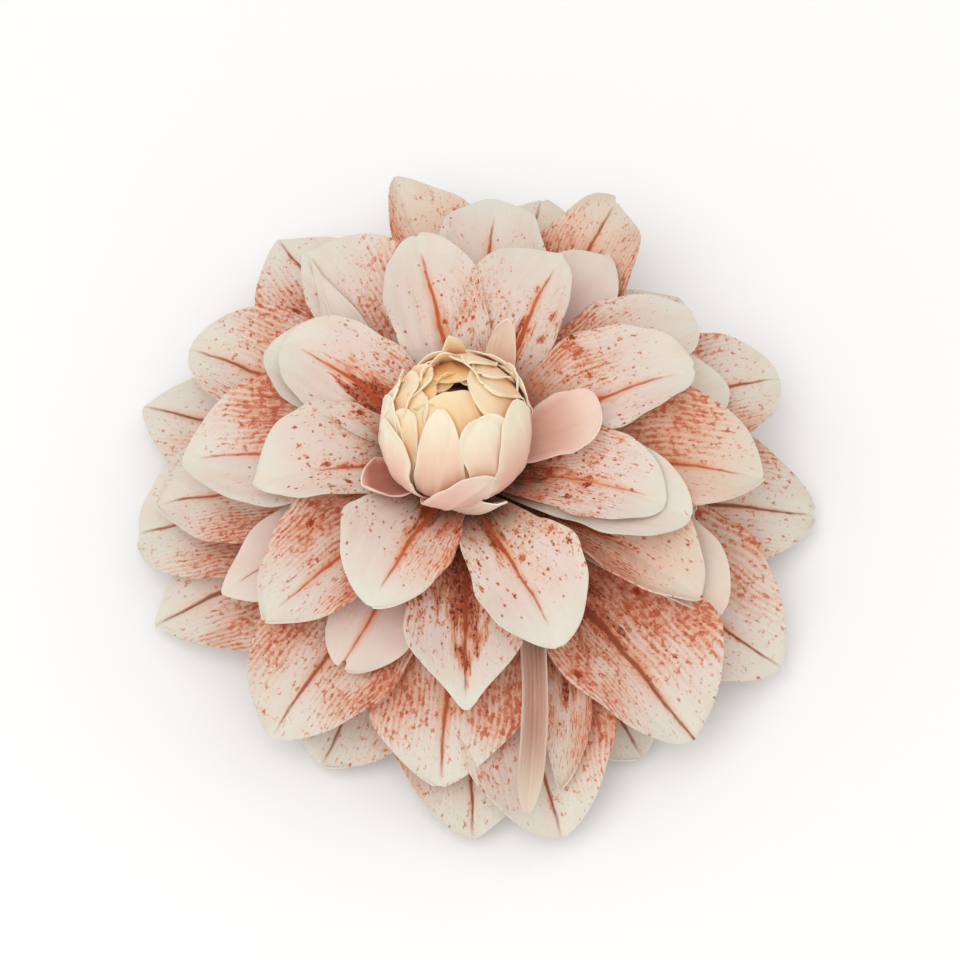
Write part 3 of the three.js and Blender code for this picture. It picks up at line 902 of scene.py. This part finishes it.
def hub(bottom, top, radius=9):
    """The moulded ring that carries a layer's petals, a little narrower at its top."""
    rim = [
        [HUB_HOLE, bottom], [radius - HUB_EDGE, bottom], [radius, bottom + HUB_EDGE],
        [radius - 2 * HUB_EDGE, top - HUB_EDGE], [radius - 3 * HUB_EDGE, top],
        [HUB_HOLE, top], [HUB_HOLE, bottom],
    ]
    return turned("hub", rim, ROUND_SIDES, HUB_GREEN)


def tint(root, body, tip, begin=0.72, spread=0.45):
    """A petal's dye. spread is where the root's colour ends, begin where the tip's colour starts."""
    return {
        "root": colour(*root), "body": colour(*body), "tip": colour(*tip), "from": begin, "spread": spread,
    }


LILAC = tint((222, 182, 152), (227, 210, 199), (227, 222, 208))
ROSE = tint((222, 168, 138), (228, 199, 178), (227, 217, 200))

# %% [markdown]
# The two lowest layers are broad and nearly flat. Their ribs are printed brown, and they show
# only from the belly out, so little of their stain is seen. Where the photograph shows a
# petal, its place, width and print follow it; a hidden one is filled in.

# %% Outer petals
OUTER = {
    "rootZ": 11.6, "lift": 8, "droop": -22, "width": 34, "high": 5, "cup": -8, "keel": 0.16, "claw": 0.2,
    "brown": 1.0, "ribWide": 0.85, "ribEnd": 1.02, "dashEnd": 1.14, "tint": LILAC,
    "stain": 0.62, "drops": 0.15,
}
RAISED = {"rootZ": 13, "high": 7, "cup": 8, "keel": 0.27}
OUTER_PETALS = [
    {"at": 0, "reach": 80, "width": 38, "skew": 0.1, "left": 0.9, "right": 0.5},
    {"at": 48, "reach": 76, "width": 28, "left": 0.7, "right": 0.7},
    {"at": 77, "reach": 80, "width": 30, "high": 14, "left": 0.4, "right": 0.3, "tint": ROSE},
    {"at": 101.5, "sway": 20, "reach": 84, "width": 23, **RAISED, "high": 18, "skew": -0.42, "point": 1.2,
     "left": 1.0, "right": 0.4, "ribWide": 0, "tint": ROSE},
    {"at": 123, "reach": 82.5, "width": 36, "high": 10.5, "point": 1.3, "left": 1.1, "right": 0.5},
    {"at": 160, "reach": 80.5, "point": 1.25, "left": 0.6, "right": 0.2},
    {"at": 184, "reach": 75, "width": 36, **RAISED, "point": 2.2, "left": 0.75, "right": 0.35},
    {"at": 201, "reach": 75.5, "width": 36, "point": 1.05, "left": 0.8, "right": 0.35},
    {"at": 242, "reach": 68, "width": 36, "left": 0.8, "right": 0.8},
    {"at": 271, "reach": 77, "width": 38, "point": 1.25, "left": 0.6, "right": 0.6},
    {"at": 285, "reach": 80, "width": 36, **RAISED, "left": 0.8, "right": 0.5, "dashEnd": 1.1},
    {"at": 304, "reach": 70, "left": 0.6, "right": 0.6},
    {"at": 332, "reach": 80, "width": 38, **RAISED, "skew": 0.12, "left": 0.7, "right": 0.35,
     "dashEnd": 1.2},
]
layer("outer_petals_cloth", "outer_petals", "printed_petal", OUTER, OUTER_PETALS, PRINTED, hub(8.9, 15.3))

# %% Broad petals
BROAD = {
    "rootZ": 17.3, "lift": 18, "droop": -28, "width": 34, "high": 14, "cup": 10, "keel": 0.27,
    "claw": 0.2, "point": 1.4, "brown": 0.7, "ribWide": 0.8, "ribEnd": 1.0, "dashEnd": 1.08, "tint": LILAC,
    "stain": 0.66, "drops": 0.3,
}
BROAD_PETALS = [
    {"at": 23, "reach": 79, "width": 32, "left": 0.7, "right": 0.8},
    {"at": 64, "sway": 8, "reach": 81, "width": 25, "high": 22, "lift": 10, "keel": 0.3, "wave": 2.0,
     "left": 0.9, "right": 0.9, "tint": ROSE},
    {"at": 108, "reach": 52, "width": 26, "high": 25, "lift": 22, "cup": 6},
    {"at": 149, "reach": 75, "width": 30, "skew": -0.12, "left": 0.5, "right": 0.8},
    {"at": 181, "reach": 70, "width": 30, "point": 1.15, "left": 0.75, "right": 0.35, "brown": 0.3},
    {"at": 233, "reach": 71, "point": 1.3, "left": 0.85, "right": 0.9, "drops": 0.6},
    {"at": 265, "reach": 68, "width": 38, "keel": 0.1, "cup": 5, "wave": 0.6, "point": 1.3,
     "left": 1.1, "right": 0.9, "drops": 0.8, "brown": 0.4},
    {"at": 311, "reach": 76, "width": 36, "skew": 0.2, "left": 1.0, "right": 0.7, "stain": 0.76,
     "drops": 1.0, "ribEnd": 1.1, "ochre": 1.4, "brown": 0.8},
    # A narrow blade that stands on edge between two broad ones.
    {"at": 287, "from": 258, "sway": -27, "reach": 70.5, "width": 11, "high": 12.5, "claw": 0.35,
     "cup": 30, "keel": 0.5, "belly": 0.7, "left": 0.9, "right": 0.9, "ribWide": 0, "dashEnd": 1.25,
     "stain": 0.9},
]
layer("broad_petals_cloth", "broad_petals", "printed_petal", BROAD, BROAD_PETALS, PRINTED, hub(15.6, 20.3))

# %% [markdown]
# Between the printed petals peep plain ones, dyed cream, tan or rose. One of them, near the
# front, is folded lengthwise into a narrow band.

# %% Plain petals
CREAM = tint((222, 196, 176), (228, 214, 200), (230, 223, 208))
TAN = tint((196, 150, 122), (222, 200, 182), (232, 218, 202))
PINK = tint((218, 176, 160), (228, 203, 193), (230, 216, 202))
PLAINS = {
    "rootZ": 21.3, "lift": 24, "droop": -25, "width": 23, "high": 25, "cup": 20, "keel": 0.22,
    "tint": CREAM, "wave": 0.7, "left": 0, "right": 0, "drops": 0, "stain": 0, "ribWide": 0, "ochre": 0,
}
PLAIN_PETALS = [
    {"at": 22, "reach": 64, "width": 26},
    {"at": 60, "reach": 63, "high": 30, "cup": 12, "tint": PINK},
    {"at": 100, "reach": 50, "high": 28.5, "width": 20, "cup": 8, "keel": 0.04},
    {"at": 124, "from": 108, "sway": -22, "reach": 63.5, "width": 11, "high": 32, "lift": 42,
     "point": 0.85, "belly": 0.4, "beak": 0.3, "cup": 6},
    {"at": 206, "reach": 60, "high": 23.5, "cup": 10, "keel": 0.14, "point": 1.1, "skew": 0.15,
     "ribWide": 0.3, "ribEnd": 0.95, "brown": 1.0, "tint": PINK},
    {"at": 239, "reach": 52.5, "width": 22, "high": 26.6, "cup": 8, "keel": 0.12, "point": 2,
     "notch": 0.035, "skew": 0.12, "left": 0.05, "right": 0.3, "ribWide": 0.5, "ribEnd": 1.05,
     "ochre": 0.5, "tint": PINK},
    # The narrow band: its rims meet over the rib, and it darkens towards the bud, partly its tan dye and
    # partly painted shade where it runs in under the bud.
    {"at": 280, "from": 262, "sway": -25, "rootZ": 22, "reach": 75.5, "width": 5.6, "high": 16,
     "lift": 31, "keel": 0.8, "claw": 0.9, "belly": 0.85, "point": 2.0, "wave": 0.4,
     "tint": tint((112, 60, 44), (196, 156, 136), (226, 208, 190), 0.75, 0.8)},
    {"at": 331.5, "reach": 64.5, "width": 21, "high": 23.5, "lift": 18, "point": 1.8, "skew": 0.4,
     "tint": TAN},
    {"at": 348.6, "reach": 51.5, "width": 24, "high": 30, "cup": 6, "keel": 0.04},
]
layer("plain_petals_cloth", "plain_petals", "plain_petal", PLAINS, PLAIN_PETALS, PRINTED, hub(20.6, 24.7))

# %% [markdown]
# The middle and the inner layer carry the boldest print: a rust line on each rib, a stain and
# dark specks at the root, and dashes on the flanks, often much denser on one flank.

# %% Middle petals
MIDDLE = {
    "rootZ": 26.2, "lift": 30, "droop": -28, "width": 27, "high": 29, "cup": 16, "keel": 0.32,
    "tint": LILAC, "brown": 0.3, "stain": 0.6, "dashEnd": 1.02,
}
MIDDLE_PETALS = [
    {"at": 37, "reach": 65, "width": 24, "left": 0.45, "right": 0.4, "stain": 0.4},
    {"at": 84, "reach": 70, "width": 26, "left": 0.15, "right": 0.12, "brown": 0.6, "stain": 0.3,
     "ribWide": 0.7, "ribEnd": 0.92},
    {"at": 123.5, "from": 114, "sway": -13, "reach": 67, "width": 26, "skew": -0.48, "point": 1.25,
     "left": 0.2, "right": 0.6, "ribWide": 0.32, "ribEnd": 1.0, "brown": 0.9},
    {"at": 177, "reach": 63.5, "width": 32, "high": 28, "cup": 10, "keel": 0.18, "wave": 0.5,
     "skew": -0.15, "point": 1.15, "left": 0.12, "right": 1.25, "stain": 0.4, "ribEnd": 0.95,
     "brown": 0.0},
    {"at": 219, "reach": 56, "width": 26, "skew": -0.1, "point": 1.1, "left": 0.75, "right": 0.7,
     "drops": 0.6, "ribEnd": 0.95, "brown": 0.0},
    {"at": 270, "reach": 55.5, "point": 1.35, "beak": 0.4, "left": 0.5, "right": 0.35, "drops": 1.3,
     "stain": 0.92, "ribWide": 0.6, "ribEnd": 0.97, "brown": 0.7},
    {"at": 330, "reach": 59, "width": 23, "skew": 0.2, "rightRim": 0.4, "left": 0.9, "right": 0.8,
     "drops": 0.6, "ribEnd": 0.7, "tint": ROSE},
    {"at": 359, "reach": 66, "width": 29, "skew": 0.2, "point": 1.25, "left": 1.05, "right": 0.35,
     "ribEnd": 0.95, "brown": 0.0, "tint": ROSE},
]
layer("middle_petals_cloth", "middle_petals", "printed_petal", MIDDLE, MIDDLE_PETALS, PRINTED,
      hub(25, 29.9))

# %% Inner petals
INNER = {
    "rootZ": 31.6, "lift": 34, "droop": -22, "width": 24, "high": 42, "cup": 16,
    "belly": 0.62, "tint": LILAC, "ribWide": 0.45, "ribEnd": 0.92, "ochre": 1.0,
}
# A twin is an unprinted petal that peeps out from under a printed one.
TWIN = {
    "high": 39, "rootZ": 31.1, "left": 0, "right": 0, "drops": 0, "stain": 0, "ribWide": 0, "ochre": 0,
}
INNER_PETALS = [
    {"at": 21, "reach": 54, "width": 23, "skew": 0.25, "left": 0.4, "right": 0.12, "drops": 0.5,
     "stain": 0.42, "ribWide": 0.5},
    {"at": 66, "reach": 53, "width": 23, "skew": 0.3, "point": 1.15, "left": 0.2, "right": 0.3,
     "drops": 0.8, "stain": 0.64, "ribWide": 0.6, "ochre": 1.4},
    {"at": 102, "sway": 4, "reach": 54, "width": 22, "left": 0.02, "right": 0.22, "drops": 0.45,
     "ribWide": 0.6},
    {"at": 147, "reach": 48, "skew": 0.04, "wave": 0.5, "left": 0.03, "right": 0.2, "drops": 1.3,
     "stain": 0.86, "ochre": 1.5},
    {"at": 149.5, "reach": 51.4, "width": 24.5, **TWIN, "skew": -0.1, "wave": 0.3, "keel": 0.12},
    {"at": 190, "reach": 47, "width": 22, "skew": -0.28, "point": 1.15, "left": 0.08, "right": 0.18,
     "drops": 1.2, "stain": 0.45, "ribEnd": 0.7, "ochre": 1.4},
    {"at": 241, "reach": 42, "width": 25, "waist": 1.35, "claw": 0.16, "skew": -0.12, "left": 0.5,
     "right": 0.05, "drops": 0.7, "stain": 0.6, "ribWide": 0.6},
    {"at": 293, "sway": 13, "reach": 50, "width": 25, "waist": 1.3, "claw": 0.08, "belly": 0.66,
     "skew": 0.08, "point": 1.35, "left": 0.14, "right": 0.06, "drops": 1.4, "stain": 0.62,
     "brown": 0.4},
    {"at": 343, "reach": 45, "width": 21.5, "waist": 1.4, "skew": 0.1, "wave": 0.4, "left": 0.45,
     "right": 0.35, "drops": 1.3, "stain": 0.6, "ribWide": 0.2},
    {"at": 343, "reach": 51, "width": 23, **TWIN, "wave": 0.4},
]
layer("inner_petals_cloth", "inner_petals", "printed_petal", INNER, INNER_PETALS, PRINTED,
      hub(30.2, 36.4))

# %% [markdown]
# The bud is the same petal again, small and rolled in. Its petals have no print: they go from
# rose at the root over cream to a pale rim, and the innermost are ochre. The deep orange at the
# roots of the cream and ochre ones is partly their dye and partly painted warm shade for the
# crevices between them. A few loose petals of the same cloth stand round its foot.

# %% Bud and its collar
BUD_SHIFT = (-2.3, -0.4)
BUD_ROSE = tint((232, 148, 130), (247, 218, 192), (251, 237, 212), 0.6, 0.95)
# The orange roots of the next two dyes are partly the cloth's peach and partly painted warm shade in the
# bud's crevices.
BUD_CREAM = tint((222, 118, 78), (245, 202, 158), (251, 230, 196), 0.7, 0.95)
BUD_OCHRE = tint((200, 100, 54), (236, 172, 108), (250, 214, 160), 0.8, 0.95)
# The collar petals are darker towards their roots: painted shade where they go in under the bud.
COLLAR = {
    "rootZ": 37.5, "rootRadius": 4.5, "width": 14, "lift": 16, "cup": 30, "keel": 0.1, "claw": 0.3,
    "tint": tint((186, 112, 92), (232, 180, 162), (246, 222, 208), 0.8), "wave": 0.3, "point": 2.3,
}
COLLAR_PETALS = [
    {"at": 8, "sway": 2, "reach": 29.5, "width": 15, "high": 53, "lift": 24, "droop": 40,
     "point": 3.4, "belly": 0.75, "tint": tint((196, 124, 102), (229, 188, 170), (244, 222, 208), 0.6)},
    {"at": 68, "sway": 4, "reach": 24, "width": 7.4, "high": 61, "droop": 80, "point": 1.5,
     "tint": tint((214, 158, 136), (238, 214, 196), (244, 228, 212), 0.6)},
    # This cupped petal's dark root and body are painted shade inside its deep cup.
    {"at": 208, "reach": 25.2, "width": 12.4, "high": 50, "lift": 21, "droop": 56, "rootRadius": 5.5,
     "cup": 62, "tint": tint((150, 84, 68), (206, 142, 122), (246, 222, 206), 0.85)},
    {"at": 291, "sway": 32, "reach": 18.6, "width": 9, "high": 52, "lift": 0, "droop": 70, "cup": 36,
     "rootRadius": 6, "rootZ": 38, "rootPull": 0.6,
     "tint": tint((236, 180, 160), (249, 224, 206), (251, 236, 220), 0.6)},
]
layer("collar_petals_cloth", "bud_collar", "collar_petal", COLLAR, COLLAR_PETALS, BUD_CLOTH,
      hub(36.7, 38.6, 6.5))

BUD = {
    "claw": 0.6, "belly": 0.66, "point": 1.9, "keel": 0.0, "wave": 0.3, "crest": 0.45, "tilt": 0.25,
    "pleats": 0.03,
}
STANDING = {
    "rootZ": 42.6, "rootRadius": 3, "lift": 8, "rootPull": 0.52, "tipPull": 0.45, "cup": 50, "droop": 90,
    "claw": 0.5, "belly": 0.72, "point": 2.2, "crest": 0.5, "tilt": 0.0,
}
FRILLED = {"crest": 1.4, "point": 2.6, "wave": 0.5}
# The petals that the bud shows outermost, then the ones under them, most on smaller shells. A few
# stand free: reach and height place their tips, as for the large petals.
BUD_OUTER_PETALS = [
    {"from": 325, "at": 8, "top": 41, "shell": 1.0, "width": 21, "point": 1.7, "claw": 0.85,
     "belly": 0.5},
    {"from": 226, "at": 184, "top": 27, "shell": 1.0, "width": 15, "point": 1.5, "tilt": -0.2},
    {"from": 196, "at": 166, "top": 34, "shell": 0.972, "width": 15, "flare": 0.4},
    {"from": 213, "at": 182, "top": 37, "shell": 0.955, "width": 11, "tilt": 0.0},
    {"from": 162, "at": 152, "top": 36, "shell": 0.965, "width": 13, "crest": 1.0, "point": 2.8,
     "wave": 0.5},
    {**STANDING, "from": 126, "at": 95, "sway": -31, "reach": 14.2, "high": 68.5, "width": 9.5,
     "droop": 84, "point": 1.3, "tint": BUD_CREAM},
    {**STANDING, "from": 112, "at": 104, "sway": -8, "reach": 10.4, "high": 69, "width": 9.5,
     "droop": 100, "tint": BUD_CREAM},
    {"from": 128, "at": 126, "top": 36, "shell": 0.935, "width": 15, "crest": 0.3, "tilt": 0.0},
    {"from": 94, "at": 92, "top": 25, "shell": 1.015, "width": 15, "crest": 0.3, "tilt": 0.1},
    {"from": 64, "at": 66, "top": 25, "shell": 1.05, "width": 15, "crest": 0.3},
    {"from": 38, "at": 42, "top": 26, "shell": 1.02, "width": 14, "wave": 0.5},
    {**STANDING, "from": 22, "at": 36, "sway": 14, "reach": 15.6, "high": 62.5, "width": 12,
     "droop": 92},
    {"from": 302, "at": 316, "top": 66, "shell": 0.974, "width": 12.5, "point": 3.2, "crest": 0.9,
     "belly": 0.78, "claw": 0.3, "tilt": 0.0},
    {"from": 255, "at": 302, "top": 20, "shell": 1.045, "width": 12, "point": 1.4, "crest": 0.4,
     "tilt": 0.6, "tint": tint((220, 156, 138), (240, 198, 182), (249, 226, 210), 0.6, 0.6)},
]
BUD_MIDDLE_PETALS = [
    {"from": 262, "at": 222, "top": 76, "shell": 0.955, "width": 12, "point": 1.6, "claw": 0.8,
     "fold": -0.5, "foldRoot": -1.1, "foldTip": 0.9, "belly": 0.42, "tint": BUD_ROSE},
    {"from": 222, "at": 190, "top": 53, "shell": 0.935, "width": 10, "point": 2.4},
    {"from": 214, "at": 166, "top": 65, "shell": 0.905, "width": 12},
    {"from": 184, "at": 146, "top": 56, "shell": 0.93, "width": 12, **FRILLED},
    {"from": 172, "at": 128, "top": 62, "shell": 0.91, "width": 11, **FRILLED},
    {**STANDING, "from": 150, "at": 133, "sway": -16, "reach": 9.5, "high": 68, "width": 10,
     "droop": 95},
    {"from": 80, "at": 73, "top": 60, "shell": 0.99, "width": 13, **FRILLED, "crest": 1.2},
    {"from": 60, "at": 54, "top": 64, "shell": 0.97, "width": 13, **FRILLED, "crest": 1.2, "wave": 0.7},
    {"from": 40, "at": 36, "top": 67, "shell": 0.955, "width": 13, "crest": 1.0, "point": 2.4,
     "wave": 0.7},
    {"from": 8, "at": 46, "top": 76, "shell": 0.94, "width": 19, "point": 1.9},
]
BUD_HEART_PETALS = [
    {"from": 280, "at": 100, "top": 83, "shell": 0.885, "width": 22, "point": 2.2, "belly": 0.75,
     "tint": tint((234, 158, 112), (246, 202, 154), (250, 224, 184), 0.75, 0.9)},
    {"from": 100, "at": 80, "top": 74, "shell": 0.89, "width": 13, "point": 3.0},
    {**STANDING, "from": 126, "at": 112, "sway": -14, "reach": 5.4, "high": 69.4, "width": 9,
     "droop": 104},
    {"from": 236, "at": 200, "top": 74, "shell": 0.87, "width": 13},
    {"from": 184, "at": 140, "top": 70, "shell": 0.86, "width": 13},
    {"from": 60, "at": 62, "top": 73, "shell": 0.86, "width": 14},
    {"from": 350, "at": 20, "top": 74, "shell": 0.87, "width": 16},
    {"from": 130, "at": 110, "top": 76, "shell": 0.82, "width": 12},
]
bud_petals = [
    {"tint": dye, **petal}
    for dye, petals in (
        (BUD_ROSE, BUD_OUTER_PETALS), (BUD_CREAM, BUD_MIDDLE_PETALS), (BUD_OCHRE, BUD_HEART_PETALS),
    )
    for petal in petals
]
core = turned(
    "bud_core",
    [[0.2, 38.9], [3.4, 38.9], [7.5, 42.5], [9.9, 48], [9.9, 53], [8.4, 59], [5, 63], [0.2, 64.6]],
    ROUND_SIDES,
    moulded("bud heart", colour(206, 112, 72), colour(226, 150, 98), 0.4),
)
activate([core])
bpy.ops.transform.translate(value=(BUD_SHIFT[0] * MM, BUD_SHIFT[1] * MM, 0))
bpy.ops.object.transform_apply(location=True, rotation=True, scale=True)
layer("bud_petals_cloth", "bud", "bud_petal", BUD, bud_petals, BUD_CLOTH, core, BUD_SHIFT)

# %% [markdown]
# Below everything sits the calyx: a low moulded cup with a flat foot and a ring of pointed
# sepals. The camera never sees it, but the flower can be turned over.

# %% Calyx and peg
CUP_SIDES = 64
SEPALS = 8
SEPAL = {
    "rootZ": 7, "rootRadius": 8.5, "lift": 14, "droop": -6, "high": 9.2, "width": 11, "cup": 18,
    "claw": 0.6, "belly": 0.4, "point": 1.1, "wave": 0.3,
    "tint": tint((120, 130, 80), (120, 130, 80), (150, 156, 104)),
}
sepals = [
    {"at": 360 * (k + 0.5) / SEPALS, "reach": 25 + 2 * (k % 2)} for k in range(SEPALS)
]
cup = turned(
    "calyx_cup",
    [[0.2, 0], [9.6, 0], [10.2, 0.3], [10.6, 1.2], [10.2, 4.4], [12.0, 6.6], [12.5, 7.4], [12.5, 8.3],
     [12.2, 8.6], [HUB_HOLE, 8.6], [HUB_HOLE, 3.7], [0.2, 3.7]],
    CUP_SIDES,
    CALYX_GREEN,
)
layer("calyx_moulded", "calyx", "calyx", SEPAL, sepals, [CALYX_GREEN, CALYX_GREEN], cup)
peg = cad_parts["peg"]
peg.data.materials.clear()
peg.data.materials.append(PEG_WHITE)
bpy.data.objects.remove(blank)
print("calyx and peg done")
